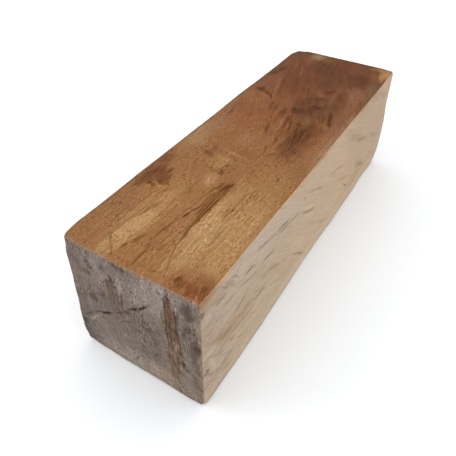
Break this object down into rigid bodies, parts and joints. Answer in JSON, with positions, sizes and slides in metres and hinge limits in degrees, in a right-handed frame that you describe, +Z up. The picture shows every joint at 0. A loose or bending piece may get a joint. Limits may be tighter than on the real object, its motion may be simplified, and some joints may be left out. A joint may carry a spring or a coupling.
{
  "type": "stabilized wood burl block",
  "caption": "Long, nearly square sawn block of resin-stabilized dogwood burl with sanded arrises and worn corners, as stock for turning, handles or carving.",
  "frame": {"origin": "centre of the block's footprint, on the surface that it rests on", "axes": "+Z up, +X along the block's length from the greyed end to the far end, -Y out of the pale long face"},
  "size_m": [0.133, 0.041, 0.0403],
  "materials": {
    "stabilized_burl": "sanded satin on the long faces, sawn matt and greyed on the end grain"
  },
  "bodies": {
    "root": {"burl_block": "stabilized_burl"}
  },
  "joints": []
}
